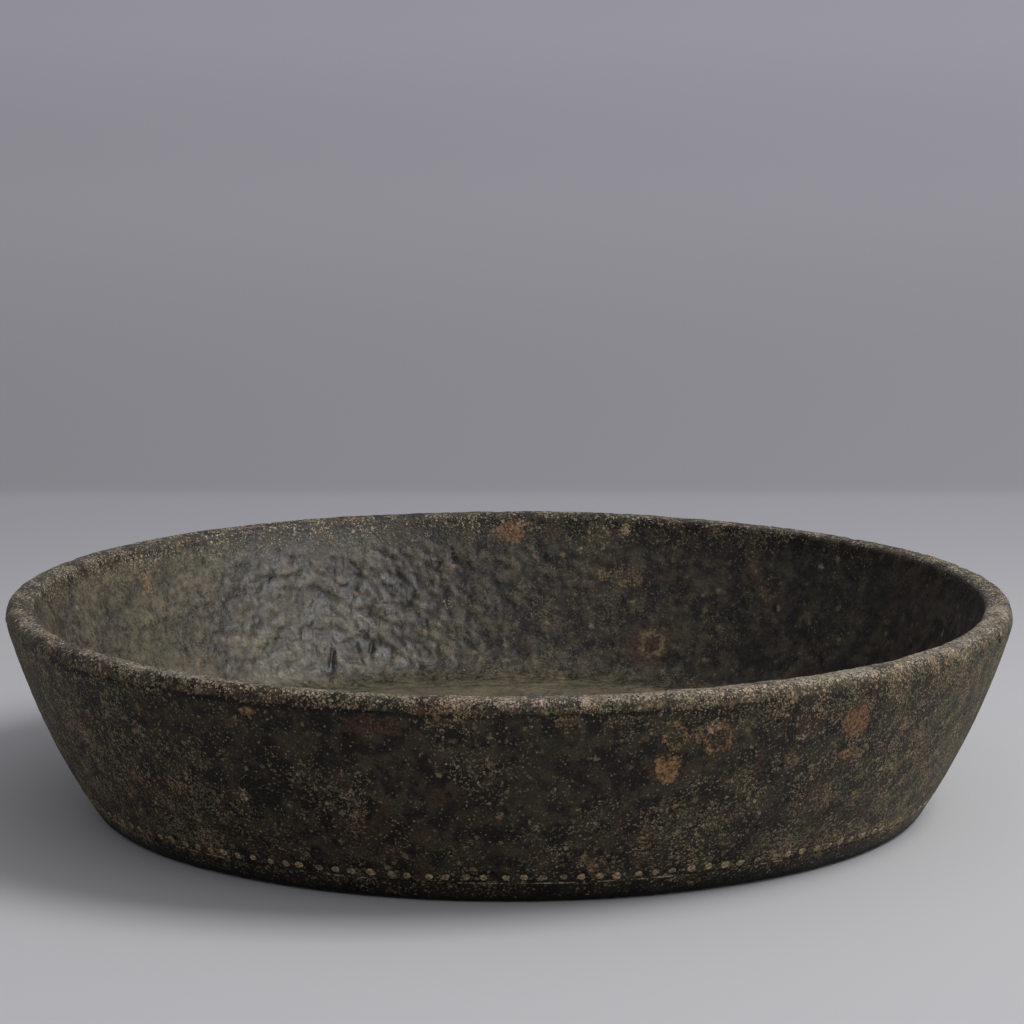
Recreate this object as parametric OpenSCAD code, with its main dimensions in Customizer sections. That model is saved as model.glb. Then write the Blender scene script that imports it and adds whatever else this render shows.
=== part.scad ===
// A wide, shallow carved bowl: a flat base, flaring walls with a slight belly, a soft round
// rim, and one row of small pale plugs let into the wall just above the base, over a fine
// scribed line that still holds remains of its pale filling.
// The origin is the centre of the flat base, with +Z up. All sizes are in millimetres.

/* [Bowl] */
// Diameter across the widest part of the rim
outer_d = 300; // [290:1:310]
// Height from the flat base to the top of the rim
height = 62; // [58:0.5:66]
// Diameter of the flat face that the bowl stands on
base_d = 245; // [240:1:250]
// Radius of the slight belly of the outer wall, seen in section
wall_curve_r = 200; // [170:5:300]
// Radius of the rounded edge between the base and the wall
corner_r = 3; // [2:0.25:4]
// Thickness of the round rim
rim_t = 9.5; // [8:0.25:11]

/* [Hollow] */
// Height of the inside floor above the base
floor_t = 12; // [10:0.5:14]
// Diameter of the flat part of the inside floor
floor_d = 224; // [210:1:226]
// Radius of the soft hollow between the floor and the inside wall
floor_fillet_r = 12; // [9:0.5:14]
// Radius of the inside wall's curve, seen in section
inner_curve_r = 320; // [280:10:500]

/* [Plugs] */
// Number of pale plugs around the bowl
plug_count = 155; // [120:1:160]
// Diameter of one plug
plug_d = 2.2; // [1.6:0.1:2.6]
// Length of one plug from its flat end to the edge of its head
plug_l = 2.8; // [2:0.1:4]
// How far the domed head of a plug stands out of the wall
plug_crown = 0.3; // [0.1:0.05:0.5]
// Height of the row of plugs above the base
plug_z = 7.4; // [7:0.1:10]
// Hand-made unevenness of the spacing, as a share of the spacing
plug_wander = 0.14; // [0:0.01:0.15]
// Hand-made unevenness of the row's height
plug_rise = 0.2; // [0:0.05:0.4]

/* [Scribed line] */
// Width of the scribed line under the plugs
line_w = 0.5; // [0.3:0.05:0.6]
// Depth of the scribed line
line_deep = 0.4; // [0.2:0.05:0.6]
// Wood left between the lowest plug and the line
line_gap = 0.15; // [0.15:0.05:0.3]
// Number of stretches in which the line still holds its pale filling
fill_count = 18; // [6:1:24]
// How far the filling lies below the surface of the wall
fill_sunk = 0.05; // [0.05:0.05:0.15]

/* [Hidden] */

dark_wood = [0.14, 0.13, 0.10];
pale_shell = [0.67, 0.60, 0.46];
pale_lime = [0.50, 0.44, 0.33];

arc_steps = 24;      // steps along each curve of the section
fine = 180;          // steps around the bowl
plug_fine = 32;      // steps around one plug
plug_gap = 0.02;     // room around a plug for the glue that holds it
reach = 2;           // how far a cutter starts outside the wall
spacing = 360 / plug_count;
seed = 7;

// The four circles that the section is drawn round: rim, base corner, belly and floor hollow
rim_r = rim_t / 2;
rim_c = [outer_d / 2 - rim_r, height - rim_r];
corner_c = [base_d / 2, corner_r];
fillet_c = [floor_d / 2, floor_t + floor_fillet_r];
belly_c = meet(rim_c, wall_curve_r - rim_r, corner_c, wall_curve_r - corner_r);
inner_c = meet(rim_c, inner_curve_r + rim_r, fillet_c, inner_curve_r - floor_fillet_r);

belly_top = bearing(belly_c, rim_c);
belly_low = bearing(belly_c, corner_c);
inner_top = bearing(inner_c, rim_c);
inner_low = bearing(inner_c, fillet_c);

// The plug row and the scribed line, which passes just under the plugs at their lowest
plug_r = plug_d / 2;
line_z = plug_z - plug_rise - (plug_r + line_gap + line_w / 2) * cos(belly_a(plug_z));

// Where two circles cross, on the side that faces the bowl's own axis
function meet(a, ra, b, rb) =
    let (d = norm(b - a), u = (b - a) / d)
    let (along = (ra * ra - rb * rb + d * d) / (2 * d))
    let (across = sqrt(ra * ra - along * along))
    a + along * u + across * [u[1], -u[0]];

// Direction from one point to another, in degrees
function bearing(from, to) = atan2(to[1] - from[1], to[0] - from[0]);

// Points along an arc
function arc(c, r, a0, a1) =
    [for (i = [0:arc_steps]) let (a = a0 + (a1 - a0) * i / arc_steps) c + r * [cos(a), sin(a)]];

// The bearing and the radius at which the belly curve stands at a given height
function belly_a(z) = asin((z - belly_c[1]) / wall_curve_r);
function belly_r(z) = belly_c[0] + wall_curve_r * cos(belly_a(z));

// Half of the bowl's section: base, corner, belly, rim, inside wall, hollow and floor
module section() {
    polygon(concat(
        [[0, 0]],
        arc(corner_c, corner_r, -90, belly_low),
        arc(belly_c, wall_curve_r, belly_low, belly_top),
        arc(rim_c, rim_r, belly_top, 180 + inner_top),
        arc(inner_c, inner_curve_r, inner_top, inner_low),
        arc(fillet_c, floor_fillet_r, inner_low, -90),
        [[0, floor_t]]
    ));
}

// Puts its children on the outer wall at a height, with +Z pointing straight out of the wood
module on_wall(z, turn) {
    rotate([0, 0, turn])
        translate([belly_r(z), 0, z])
            rotate([0, 90 - belly_a(z), 0])
                children();
}

// Repeats its children at every plug's place, with the wander of handwork
module at_plugs() {
    sway = rands(-plug_wander, plug_wander, plug_count, seed);
    lift = rands(-plug_rise, plug_rise, plug_count, seed + 1);
    for (i = [0:plug_count - 1])
        on_wall(plug_z + lift[i], (i + sway[i]) * spacing)
            children();
}

// A strip that follows the scribed line around the bowl, from one depth to another
module line_strip(deep, high, turn, sweep) {
    a = belly_a(line_z);
    rotate([0, 0, turn])
        rotate_extrude(angle = sweep, $fn = fine)
            translate([belly_r(line_z), line_z])
                rotate(a)
                    translate([-deep, -line_w / 2])
                        square([deep + high, line_w]);
}

// The bowl, carved from one block, with a pit for each plug and the scribed line
module bowl_body() {
    color(dark_wood)
        difference() {
            rotate_extrude($fn = fine) section();
            at_plugs()
                translate([0, 0, -plug_l])
                    cylinder(r = plug_r + plug_gap, h = plug_l + reach, $fn = plug_fine);
            line_strip(line_deep, reach, 0, 360);
        }
}

// One plug: a straight peg with a low domed head
module plug() {
    dome_r = (plug_r * plug_r + plug_crown * plug_crown) / (2 * plug_crown);
    translate([0, 0, -plug_l])
        cylinder(r = plug_r, h = plug_l, $fn = plug_fine);
    intersection() {
        translate([0, 0, plug_crown - dome_r])
            sphere(r = dome_r, $fn = plug_fine);
        cylinder(r = plug_r, h = plug_crown, $fn = plug_fine);
    }
}

// The row of plugs, each a separate piece in its own pit
module inlay_plugs() {
    color(pale_shell) at_plugs() plug();
}

// The separate stretches of pale filling that are left in the scribed line
module line_fill() {
    share = 360 / fill_count;
    length = rands(0.25, 0.75, fill_count, seed + 2);
    start = rands(0, 0.2, fill_count, seed + 3);
    color(pale_lime)
        for (i = [0:fill_count - 1])
            line_strip(line_deep, -fill_sunk, (i + start[i]) * share, length[i] * share);
}

bowl_body();
inlay_plugs();
line_fill();
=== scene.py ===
"""The looks of a carved dark bowl with a row of small pale plugs let in above its base.

Metres, +Z up, origin at the centre of the flat base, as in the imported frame. The bowl is one fine
mesh, worked out here ring by ring, with the unevenness, tool marks, pits, chips and stains of an
old hand-carved bowl. The plugs and the filling of the scribed line are meshes of their own.
Angles around the bowl are in degrees from +X, so that its front is at -90.
"""

import itertools
import math

import bpy
import numpy as np
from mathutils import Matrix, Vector


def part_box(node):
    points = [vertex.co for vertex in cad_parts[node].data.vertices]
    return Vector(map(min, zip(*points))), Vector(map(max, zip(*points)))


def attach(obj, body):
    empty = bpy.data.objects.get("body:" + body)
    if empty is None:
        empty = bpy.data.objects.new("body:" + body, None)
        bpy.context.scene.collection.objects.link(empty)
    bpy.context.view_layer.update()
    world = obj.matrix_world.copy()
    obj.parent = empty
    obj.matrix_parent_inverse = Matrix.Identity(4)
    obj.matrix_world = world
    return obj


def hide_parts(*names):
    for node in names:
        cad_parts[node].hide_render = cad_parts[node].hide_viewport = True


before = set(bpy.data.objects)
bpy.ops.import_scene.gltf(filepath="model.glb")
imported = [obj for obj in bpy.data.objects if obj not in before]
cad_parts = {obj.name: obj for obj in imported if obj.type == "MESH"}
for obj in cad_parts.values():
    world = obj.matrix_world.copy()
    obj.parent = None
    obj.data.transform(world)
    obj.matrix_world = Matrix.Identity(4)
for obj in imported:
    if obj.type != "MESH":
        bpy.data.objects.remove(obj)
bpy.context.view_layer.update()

MM = 0.001
TURN = 2 * math.pi

# ---------------------------------------------------------------- the bowl's section
# The circles that the section is drawn round, with the CAD source's measures
body_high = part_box("bowl_body")[1]
OUTER_R, HEIGHT = body_high.x, body_high.z
RIM_R = 4.75 * MM
CORNER_R = 3 * MM
BASE_R = 122.5 * MM
BELLY_R = 200 * MM
FLOOR_Z = 12 * MM
FLOOR_R = 112 * MM
FILLET_R = 12 * MM
HOLLOW_R = 320 * MM
# The scribed line is drawn a little higher than the CAD has it, as the photo shows it close to the plugs
LINE_Z = 6.3 * MM
LINE_HALF = 0.3 * MM
LINE_DEEP = 0.3 * MM

# The parts of the section, in the order in which the rings follow each other
BASE, CORNER, WALL, RIM, INSIDE, FILLET, FLOOR = range(7)

# How fine the mesh is
COLUMNS = 1280  # around the walls and the rim; the plug row has twice as many
ROW = 0.7 * MM
ROW_AT_PLUGS = 0.24 * MM
ROW_AT_LINE = 0.12 * MM
BASE_ROW = 4 * MM
FLOOR_GAP = 0.4 * MM
BASE_GAP = 3 * MM
PLUG_BAND = (4.9 * MM, 9.6 * MM)
LINE_BAND = 0.55 * MM


def meet(a, ra, b, rb):
    """Where two circles of the section cross, on the side that faces the bowl's axis."""
    d = np.linalg.norm(b - a)
    u = (b - a) / d
    along = (ra * ra - rb * rb + d * d) / (2 * d)
    across = math.sqrt(ra * ra - along * along)
    return a + along * u + across * np.array([u[1], -u[0]])


def bearing(start, end):
    """The direction from one point of the section to another."""
    return math.atan2(end[1] - start[1], end[0] - start[0])


rim_c = np.array([OUTER_R - RIM_R, HEIGHT - RIM_R])
corner_c = np.array([BASE_R, CORNER_R])
fillet_c = np.array([FLOOR_R, FLOOR_Z + FILLET_R])
belly_c = meet(rim_c, BELLY_R - RIM_R, corner_c, BELLY_R - CORNER_R)
hollow_c = meet(rim_c, HOLLOW_R + RIM_R, fillet_c, HOLLOW_R - FILLET_R)
belly_top, belly_low = bearing(belly_c, rim_c), bearing(belly_c, corner_c)
hollow_top, hollow_low = bearing(hollow_c, rim_c), bearing(hollow_c, fillet_c)


def belly_bearing(z):
    """The direction, seen from the middle of the wall's circle, of the wall at a height."""
    return np.arcsin((z - belly_c[1]) / BELLY_R)


def steps(a, b, size):
    """Even steps from a to b, b left out, each about as long as size."""
    count = max(1, round(abs(b - a) / size))
    return a + (b - a) * np.arange(count) / count


def arc(part, c, r, a0, a1, step, side=1):
    """Rings along one arc of the section, as rows of part, r, z and the normal's r and z."""
    a = steps(a0, a1, step / r)
    n = side * np.stack([np.cos(a), np.sin(a)], 1)
    at = c + side * r * n
    return np.column_stack([np.full(len(a), part), at, n])


def flat(part, r, z, up):
    """Rings on a level face of the section."""
    level = np.zeros(len(r))
    return np.column_stack([level + part, r, level + z, level, level + up])


def belly(z0, z1, step):
    """Rings of the outside wall between two heights."""
    return arc(WALL, belly_c, BELLY_R, belly_bearing(z0), belly_bearing(z1), step)


def section_rings():
    """Every ring, from the middle of the base up the wall and over to the floor's middle."""
    belly_z = (belly_c[1] + BELLY_R * math.sin(belly_low), belly_c[1] + BELLY_R * math.sin(belly_top))
    line_low, line_high = LINE_Z - LINE_BAND, LINE_Z + LINE_BAND
    return np.concatenate([
        flat(BASE, steps(BASE_ROW, BASE_R, BASE_ROW), 0, -1),
        arc(CORNER, corner_c, CORNER_R, -math.pi / 2, belly_low, ROW / 2),
        belly(belly_z[0], PLUG_BAND[0], ROW),
        belly(PLUG_BAND[0], line_low, ROW_AT_PLUGS),
        belly(line_low, line_high, ROW_AT_LINE),
        belly(line_high, PLUG_BAND[1], ROW_AT_PLUGS),
        belly(PLUG_BAND[1], belly_z[1], ROW),
        arc(RIM, rim_c, RIM_R, belly_top, math.pi + hollow_top, ROW * 0.7),
        arc(INSIDE, hollow_c, HOLLOW_R, hollow_top, hollow_low, ROW, side=-1),
        arc(FILLET, fillet_c, FILLET_R, hollow_low, -math.pi / 2, ROW, side=-1),
        flat(FLOOR, steps(FLOOR_R, ROW / 2, ROW), FLOOR_Z, 1),
    ])


def columns_of(rings):
    """How many points each ring has: halved towards the middle, at most twice a neighbour's."""
    part, r, z = rings[:, 0], rings[:, 1], rings[:, 2]
    counts = []
    for k in range(len(rings)):
        count = COLUMNS
        gap = {BASE: BASE_GAP, FLOOR: FLOOR_GAP}.get(int(part[k]), 0)
        while count > 5 and TURN * r[k] / count < gap:
            count //= 2
        if part[k] == WALL and PLUG_BAND[0] <= z[k] < PLUG_BAND[1]:
            count = 2 * COLUMNS
        counts.append(count)
    for k in range(len(counts) - 2, -1, -1):
        counts[k] = max(counts[k], counts[k + 1] // 2)
    return np.array(counts)


# ---------------------------------------------------------------- noise
MASK = 0xFFFFFFFF
BITS = 1023
CORNERS = list(itertools.product((0, 1), repeat=3))
NEIGHBOURS = list(itertools.product((-1, 0, 1), repeat=3))


def lattice_hash(cell, seed):
    """A number of 32 mixed bits for each cell of a lattice."""
    n = cell[..., 0] * 73856093 ^ cell[..., 1] * 19349663 ^ cell[..., 2] * 83492791 ^ seed * 2654435761
    n = n & MASK
    for _ in range(2):
        n = ((n ^ (n >> 16)) * 0x45D9F3B) & MASK
    return n ^ (n >> 16)


def three(n):
    """Three numbers from 0 to 1 out of a hash."""
    return np.stack([n & BITS, (n >> 10) & BITS, (n >> 20) & BITS], -1) / BITS


def noise(p, size, seed):
    """Smooth noise from about -1 to 1, with features about as large as size."""
    q = p / size
    cell = np.floor(q).astype(np.int64)
    f = q - cell
    w = f * f * f * (f * (f * 6 - 15) + 10)
    total = np.zeros(len(q))
    for corner in CORNERS:
        slope = three(lattice_hash(cell + corner, seed)) * 2 - 1
        share = np.prod(np.where(corner, w, 1 - w), axis=-1)
        total += share * ((f - corner) * slope).sum(-1)
    return total * 1.5


def fractal(p, size, seed, octaves=3, fall=0.5):
    """Noise with finer noise added to it."""
    return sum(fall ** k * noise(p, size * 0.5 ** k, seed + k) for k in range(octaves))


def cells(p, size, seed):
    """Distances to the nearest two of scattered points, in sizes, and the nearest one's number."""
    q = p / size
    home = np.floor(q).astype(np.int64)
    first, second, tag = np.full(len(q), 9.0), np.full(len(q), 9.0), np.zeros(len(q))
    for offset in NEIGHBOURS:
        n = lattice_hash(home + offset, seed)
        d = np.linalg.norm(q - (home + offset + three(n)), axis=-1)
        nearer = d < first
        second = np.where(nearer, first, np.minimum(second, d))
        tag = np.where(nearer, (n >> 7 & BITS) / BITS, tag)
        first = np.minimum(first, d)
    return first, second, tag


def ease(x, low, high):
    """A smooth step from 0 where x is low to 1 where x is high."""
    t = np.clip((x - low) / (high - low), 0, 1)
    return t * t * (3 - 2 * t)


def away(angle, centre):
    """How far an angle is from another, in degrees, with its sign."""
    return (angle - centre + 180) % 360 - 180


def hump(angle, centre, spread):
    """1 at the centre angle, falling away on both sides of it."""
    return np.exp(-(away(angle, centre) / spread) ** 2)


# ---------------------------------------------------------------- where the plugs are
def plug_places():
    """The angle and height of each plug, from its solid in the CAD node."""
    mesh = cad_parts["inlay_plugs"].data
    co = np.zeros(len(mesh.vertices) * 3)
    mesh.vertices.foreach_get("co", co)
    co = co.reshape(-1, 3)
    angle = np.degrees(np.arctan2(co[:, 1], co[:, 0]))
    order = np.argsort(angle)
    angle, z = angle[order], co[order, 2]
    cuts = np.flatnonzero(np.diff(angle) > 0.5) + 1
    groups = [(np.ptp(a), (a.min() + a.max()) / 2, (h.min() + h.max()) / 2)
              for a, h in zip(np.split(angle, cuts), np.split(z, cuts))]
    return np.array([(a, h) for spread, a, h in groups if spread > 0.3])


plugs = plug_places()
DENT_R = 1.3 * MM
DENT_DEEP = 0.32 * MM


def to_nearest_plug(angle, z):
    """Distance along the wall from each point to the nearest plug's middle."""
    place = np.searchsorted(plugs[:, 0], angle)
    best = np.full(len(angle), 1.0)
    for k in (-1, 0):
        plug = plugs[(place + k) % len(plugs)]
        r = belly_c[0] + BELLY_R * np.cos(belly_bearing(plug[:, 1]))
        side = np.radians(away(angle, plug[:, 0])) * r
        best = np.minimum(best, np.hypot(side, z - plug[:, 1]))
    return best


# ---------------------------------------------------------------- relief
SET_IN = 0.3 * MM  # keeps the uneven skin within the true section's box


def swell(p):
    """The slow unevenness of a bowl carved by hand, in metres along the normal."""
    return 0.34 * MM * noise(p, 85 * MM, 11) + 0.16 * MM * noise(p, 34 * MM, 12) - SET_IN


LIP_HIGH = 0.42 * MM


def lip_edge(p):
    """The ragged height from which the crust under the rim stands proud."""
    return 57.7 * MM + 0.6 * MM * fractal(p, 14 * MM, 33) + 0.35 * MM * noise(p, 2.5 * MM, 37)


def lip_share(angle):
    """The crusty lip is whole on the left and worn nearly away on the right."""
    return 1 - 0.75 * ease(angle, -75, -50) * ease(angle, 120, 90)


def pores(p):
    """The fine unevenness and the few pits that the whole worn skin has."""
    skin = 0.10 * MM * fractal(p, 9 * MM, 21) + 0.07 * MM * fractal(p, 2.4 * MM, 25, 2)
    first, _, tag = cells(p, 7 * MM, 31)
    return skin - 0.35 * MM * (tag > 0.72) * ease(first, 0.22, 0.08)


def wall_relief(angle, z):
    """Outside wall: the scribed line and the plugs' dents."""
    groove = -LINE_DEEP * ease(abs(z - LINE_Z), LINE_HALF, LINE_HALF * 0.5)
    dents = -DENT_DEEP * ease(to_nearest_plug(angle, z), DENT_R, DENT_R * 0.8)
    return np.minimum(groove, dents)


def rim_relief(p, angle, z, lean):
    """Rim: squarer than a half round, with a gritty crust and chips along its edges."""
    square = 0.55 * MM * np.sin(2 * lean) ** 2 * ease(np.sin(lean), 0.3, 0.75)
    crust = 0.06 * MM * fractal(p, 2.0 * MM, 41, 2) + 0.14 * MM * fractal(p, 11 * MM, 44)
    first, _, tag = cells(p, 9 * MM, 47)
    chips = -0.30 * MM * (tag > 0.7) * ease(first, 0.32, 0.12)
    edge = lip_edge(p)
    lip = LIP_HIGH * ease(z, edge, edge + 0.5 * MM) * ease(np.cos(lean), 0.0, 0.5) * lip_share(angle)
    outer_end, inner_end = belly_top, math.pi + hollow_top
    within = ease(lean, outer_end, outer_end + 0.5) * ease(lean, inner_end, inner_end - 0.5)
    return within * (square + crust + chips + lip)


# Long single tool marks on the inside: angle, height mm, half width mm, half height mm
GOUGES = ((118, 20, 1.0, 3.8), (111.5, 21, 1.0, 3.0))
GOUGE_DEEP = 0.7 * MM


def hollow_relief(p, angle, z):
    """Inside wall: pecked with a round tool, most of all at the back left, where the light rakes it."""
    slant = np.column_stack([p[:, 0], p[:, 1], 1.5 * p[:, 2] + 0.35 * p[:, 0]])
    pecked = (0.30 + 0.70 * hump(angle, 112, 24)) * ease(z, 58 * MM, 48 * MM)
    first, second, _ = cells(slant, 4.8 * MM, 51)
    marks = 0.8 * MM * (np.minimum(second - first, 0.5) - 0.25)
    marks += 0.55 * MM * fractal(slant, 5.5 * MM, 54, 4)
    gouges = sum(gouge(p, angle, z, *place) for place in GOUGES)
    return (pecked * marks + gouges) * ease(z, FLOOR_Z, FLOOR_Z + 5 * MM)


def gouge(p, angle, z, at, height, half_w, half_h):
    """One slanting tool mark cut into the inside wall."""
    side = np.radians(away(angle, at)) * np.hypot(p[:, 0], p[:, 1]) + 0.35 * (z - height * MM)
    d = np.hypot(side / (half_w * MM), (z - height * MM) / (half_h * MM))
    return -GOUGE_DEEP * ease(d, 1.1, 0.3)


def turned(p):
    """Coordinates in which noise draws out into streaks around the bowl's axis."""
    r = np.hypot(p[:, 0], p[:, 1])
    length = 14 * MM
    around = p[:, :2] / np.maximum(r, MM)[:, None] * length
    return np.column_stack([r, around])


def floor_relief(p):
    """Floor: faint turned-looking streaks from scraping and use."""
    streaks = 0.08 * MM * noise(turned(p), 1.8 * MM, 71) + 0.12 * MM * noise(turned(p), 5 * MM, 72)
    within = ease(np.hypot(p[:, 0], p[:, 1]), FLOOR_R, FLOOR_R - 8 * MM)
    return within * (streaks + 0.15 * MM * fractal(p, 14 * MM, 76))


def base_relief(p):
    """Underside: worn flat around its edge, dished and roughly tooled inside it."""
    r = np.hypot(p[:, 0], p[:, 1])
    dish = ease(r, BASE_R - 2 * MM, BASE_R - 14 * MM)
    return -dish * MM * (0.5 + 0.25 * noise(p, 18 * MM, 81) + 0.15 * noise(p, 7 * MM, 82))


def relief(skin):
    """How far each point stands out along its normal from the slowly uneven form under the marks."""
    height = np.zeros(len(skin["z"]))
    rules = {
        (BASE,): lambda s: base_relief(s["p"]),
        (CORNER, WALL): lambda s: wall_relief(s["angle"], s["z"]),
        (RIM,): lambda s: rim_relief(s["p"], s["angle"], s["z"], s["lean"]),
        (INSIDE, FILLET): lambda s: hollow_relief(s["p"], s["angle"], s["z"]),
        (FLOOR,): lambda s: floor_relief(s["p"]),
    }
    for parts, rule in rules.items():
        here = np.isin(skin["part"], parts)
        height[here] = rule({key: value[here] for key, value in skin.items()})
    return height + np.where(skin["part"] == BASE, 0, pores(skin["p"]))


# ---------------------------------------------------------------- stains and painted shade
# Linear colours, as a colour meter would read them off the bowl
RUST = (0.23, 0.12, 0.062)
ORANGE = (0.27, 0.155, 0.07)
OCHRE = (0.19, 0.125, 0.062)
BUFF = (0.36, 0.27, 0.17)
PINK = (0.42, 0.30, 0.215)
GREEN = (0.115, 0.115, 0.075)
TAN = (0.25, 0.18, 0.105)
BROWN = (0.075, 0.038, 0.020)
# The black below is no colour of the bowl: it paints shade
SHADE_BLACK = (0.012, 0.010, 0.008)

OUT, IN = (CORNER, WALL, RIM), (RIM, INSIDE, FILLET)

# side, angle, height mm, half width mm, half height mm, colour, strength, how hollow the middle is
STAINS_AND_SHADE = [
    # A painted contact shadow: a black band all round the foot, where the bowl meets the table
    (OUT, -90, 0, 720, 2.0, SHADE_BLACK, 0.9, 0),
    (IN, 90, 56.5, 5.5, 4, RUST, 0.8, 0),
    (IN, 88, 59, 2.6, 1.2, PINK, 0.6, 0),
    (IN, 74, 58, 1.9, 2.2, BUFF, 0.9, 0),
    (IN, 80, 51, 1.6, 1.4, BUFF, 0.6, 0),
    (IN, 77, 52, 1.4, 1.2, BUFF, 0.5, 0),
    (IN, 74, 43, 9, 4, OCHRE, 0.6, 0),
    (IN, 68.5, 22, 9, 7, BROWN, 0.8, 0),
    (IN, 68, 23, 5, 4.5, TAN, 0.8, 1),
    (IN, 51, 44, 4.5, 4.5, OCHRE, 0.7, 1),
    (IN, 107, 53, 11, 5, GREEN, 0.45, 0),
    (IN, 147, 51, 2, 4, ORANGE, 0.7, 0),
    (IN, 120, 51, 3, 1.6, OCHRE, 0.45, 0),
    (IN, 99, 34, 2.4, 2.4, PINK, 0.35, 0),
    # Painted shade: a dark patch on the inside at the right, deepening the shade where the key lamp does
    # not reach
    (IN, 34, 46, 34, 12, SHADE_BLACK, 0.45, 0),
    (IN, 82, 13, 22, 2.5, OCHRE, 0.3, 0),
    (IN, 62, 13, 10, 2.5, OCHRE, 0.3, 0),
    (OUT, -72.6, 50, 3.6, 4.2, ORANGE, 0.8, 0.55),
    (OUT, -70.2, 50.5, 2.6, 2.8, OCHRE, 0.7, 0),
    (OUT, -67.8, 48.5, 5.0, 4.8, ORANGE, 0.85, 0.55),
    (OUT, -68.5, 52, 2.4, 2.0, PINK, 0.4, 0),
    (OUT, -73, 40.5, 4.4, 4.6, ORANGE, 0.9, 0),
    (OUT, -72, 30, 3.2, 2, ORANGE, 0.7, 0.55),
    (OUT, -67, 28, 1.6, 1.6, PINK, 0.5, 0),
    (OUT, -50, 48.0, 5.6, 4.6, RUST, 0.95, 0),
    (OUT, -50, 54.0, 3.0, 2.6, ORANGE, 0.35, 0),
    (OUT, -57.5, 45.8, 2.6, 1.6, BUFF, 0.6, 0),
    (OUT, -50, 38.5, 4.6, 2.0, ORANGE, 0.7, 0),
    (OUT, -62, 39, 2.4, 6, BROWN, 0.6, 0),
    (OUT, -50, 25, 5, 2, OCHRE, 0.6, 0),
    (OUT, -46, 22, 3, 2, OCHRE, 0.5, 0),
    (OUT, -84, 56, 3.6, 2.2, OCHRE, 0.6, 0),
    (OUT, -118, 55, 2.6, 1.5, ORANGE, 0.85, 0),
    (OUT, -121, 29, 1.9, 2.2, BUFF, 0.6, 0),
    (OUT, -107, 27, 5, 2, OCHRE, 0.45, 0),
    (OUT, -103, 25, 3, 2, BUFF, 0.35, 0),
    (OUT, -107, 21, 5, 4, BROWN, 0.7, 0.55),
    (OUT, -91, 28, 1.6, 1.6, OCHRE, 0.7, 0),
    (OUT, -104, 54, 10, 3.5, BROWN, 0.7, 0),
    (OUT, -99, 50, 3, 2, PINK, 0.2, 0),
    (OUT, -44, 60.5, 1.0, 1.0, BUFF, 0.7, 0),
    (OUT, -38, 60.8, 1.9, 1.8, BUFF, 0.9, 0),
    (OUT, -35.5, 59, 1.3, 1.4, ORANGE, 0.7, 0),
    (OUT, -31, 58.5, 2.6, 1.6, BUFF, 0.7, 0),
    (OUT, -25, 59, 2.0, 1.6, OCHRE, 0.7, 0),
    (OUT, -60, 60, 1.6, 1.0, ORANGE, 0.5, 0),
    (OUT, -95, 60.5, 3.0, 1.4, PINK, 0.6, 0),
    (OUT, -104, 60, 1.6, 1.0, PINK, 0.5, 0),
    (OUT, -73, 16, 2.2, 2.6, OCHRE, 0.5, 0.55),
    (OUT, -125, 51, 16, 5, BROWN, 0.35, 0),
    (OUT, -88, 40, 12, 4, BROWN, 0.35, 0),
    (OUT, 20, 42, 6, 5, RUST, 0.6, 0),
    (OUT, 48, 30, 5, 4, OCHRE, 0.7, 0.55),
    (OUT, 75, 47, 7, 4, OCHRE, 0.5, 0),
    (OUT, 112, 25, 8, 5, BROWN, 0.7, 0),
    (OUT, 128, 44, 5, 5, RUST, 0.7, 0),
    (OUT, 160, 33, 6, 4, OCHRE, 0.6, 0.55),
    (OUT, -160, 46, 8, 4, BROWN, 0.6, 0),
]

# Rubbed places on the rim's outer shoulder: angle, half width mm, strength
RUBBED = [(-100, 3.5, 0.6), (-96, 2, 0.5), (-90, 5, 0.7), (-87, 3, 0.9), (-82, 4, 0.8), (-76, 4, 0.5),
          (-112, 2, 0.8), (-118, 2, 0.6), (-48, 3, 0.9), (-44, 4, 0.6), (-34, 4, 0.7), (-150, 4, 0.6),
          (10, 6, 0.5), (60, 8, 0.6), (130, 5, 0.6), (170, 7, 0.5)]


def lay(tint, cover, colour):
    """Lays a colour, weighted by its cover, over the tint; the last channel adds up the cover."""
    tint *= (1 - cover)[:, None]
    tint += cover[:, None] * np.array([*colour, 1])


def stain_and_shade_tint(skin):
    """The colour of the stains and of the painted shade at each point, and as its last channel how
    thickly they lie.
    """
    p, angle, z, part = skin["p"], skin["angle"], skin["z"], skin["part"]
    tint = np.zeros((len(p), 4))
    wobble = 0.30 * noise(p, 3.2 * MM, 91) + 0.22 * noise(p, 1.3 * MM, 92)
    r = np.hypot(p[:, 0], p[:, 1])
    for parts, at, height, half_w, half_h, colour, strength, hollow in STAINS_AND_SHADE:
        side = np.radians(away(angle, at)) * r / (half_w * MM)
        up = (z - height * MM) / (half_h * MM)
        d = np.hypot(side, up) + wobble
        edge = ease(d, 1.15, 0.7) * (1 - hollow * ease(d, 0.78, 0.50))
        lay(tint, edge * strength * np.isin(part, parts), colour)
    for at, half_w, strength in RUBBED:
        side = np.radians(away(angle, at)) * r / (half_w * MM)
        d = np.hypot(side, (skin["lean"] - 0.9) / 0.55) + 1.5 * wobble
        lay(tint, ease(d, 1.2, 0.3) * strength * (part == RIM), PINK)
    cover = tint[:, 3:]
    tint[:, :3] = np.where(cover > 0.01, tint[:, :3] / np.maximum(cover, 0.01), OCHRE)
    return tint


def crusted(skin):
    """From 0 to 1 where the rim's gritty crust begins, above its ragged edge."""
    edge = lip_edge(skin["p"])
    outer = ease(skin["z"], edge - 0.4 * MM, edge + 0.6 * MM)
    return outer * ease(skin["lean"], 2.5, 1.7) * (skin["part"] == RIM)


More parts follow.
